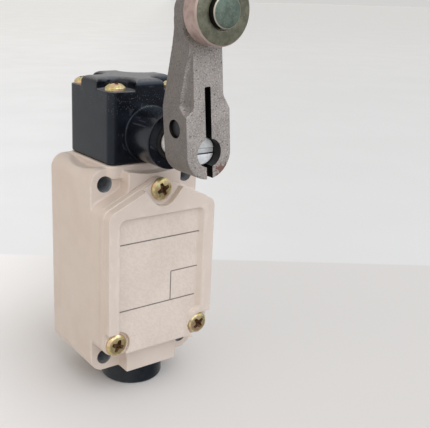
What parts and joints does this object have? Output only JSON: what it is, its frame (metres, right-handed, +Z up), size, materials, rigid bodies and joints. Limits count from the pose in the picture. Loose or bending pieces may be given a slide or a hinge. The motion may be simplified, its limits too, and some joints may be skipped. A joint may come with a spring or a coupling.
{
  "type": "limit switch",
  "caption": "Metal-bodied limit switch: flanged box with screwed front cover, black rotary head and a clamped lever arm with a roller.",
  "frame": {"origin": "centre of the mounting-hole pattern on the rear mounting face", "axes": "+Z up, towards the head and lever; +X to the right seen from the front; +Y out of the rear mounting face, so the cover faces -Y"},
  "size_m": [0.04, 0.0692, 0.1326],
  "materials": {
    "paint": "fine-textured beige paint on die casting",
    "black_paint": "gloss black paint on die casting",
    "zinc": "yellow zinc plating",
    "cast_steel": "blasted grey casting",
    "steel": "ground",
    "sintered_steel": "sintered, dull",
    "rubber": "matt",
    "black_plastic": "moulded",
    "phenolic": "moulded brown",
    "bronze": "sintered bronze",
    "brass": "stamped",
    "acetal": "moulded white"
  },
  "bodies": {
    "box": {"housing": "paint", "cover_gasket": "rubber", "cover": "paint", "cover_screw_top": "zinc", "cover_screw_left": "zinc", "cover_screw_right": "zinc", "conduit_plug": "black_plastic", "plug_seal": "rubber", "head_gasket": "rubber", "head_housing": "black_paint", "head_screw_1": "zinc", "head_screw_2": "zinc", "head_screw_3": "zinc", "head_screw_4": "zinc", "shaft_bush": "bronze", "shaft_seal": "rubber", "plunger_guide": "bronze", "earth_screw": "zinc", "switch_case": "phenolic", "switch_lid": "phenolic", "case_screw_1": "zinc", "case_screw_2": "zinc", "terminal_upper_left": "brass", "terminal_upper_right": "brass", "terminal_lower_left": "brass", "terminal_lower_right": "brass", "terminal_screw_upper_left": "zinc", "terminal_screw_upper_right": "zinc", "terminal_screw_lower_left": "zinc", "terminal_screw_lower_right": "zinc", "contact_spring": "steel", "return_spring": "steel"},
    "lever": {"lever_arm": "cast_steel", "clamp_bolt": "steel", "roller_pin": "sintered_steel", "roller_spacer": "steel", "rotary_shaft": "steel", "cam": "steel", "cross_pin": "steel"},
    "roller": {"roller": "sintered_steel"},
    "plunger": {"operating_plunger": "steel"},
    "contact_slider": {"switch_plunger": "acetal", "contact_bridge": "brass"}
  },
  "joints": [
    {"name": "lever_swing", "type": "hinge", "parent": "box", "child": "lever", "pos_m": [0, -0.0545, 0.044], "axis": [0, 1, 0], "range_deg": [-85, 85], "stiffness_Nm_per_rad": 0.3},
    {"name": "roller_spin", "type": "hinge", "parent": "lever", "child": "roller", "pos_m": [-0.00331, -0.06475, 0.08186], "axis": [0, 1, 0], "continuous": true},
    {"name": "plunger_travel", "type": "slide", "parent": "box", "child": "plunger", "axis": [0, 0, -1], "range_m": [0, 0.0016], "stiffness_N_per_m": 1500, "springref_m": -0.001, "deforming": ["return_spring"]},
    {"name": "contact_travel", "type": "slide", "parent": "box", "child": "contact_slider", "axis": [0, 0, -1], "range_m": [0, 0.0016], "stiffness_N_per_m": 300, "springref_m": -0.001, "deforming": ["contact_spring"]}
  ],
  "couplings": [
    {"joint": "contact_travel", "follows": "plunger_travel", "ratio": 1}
  ]
}
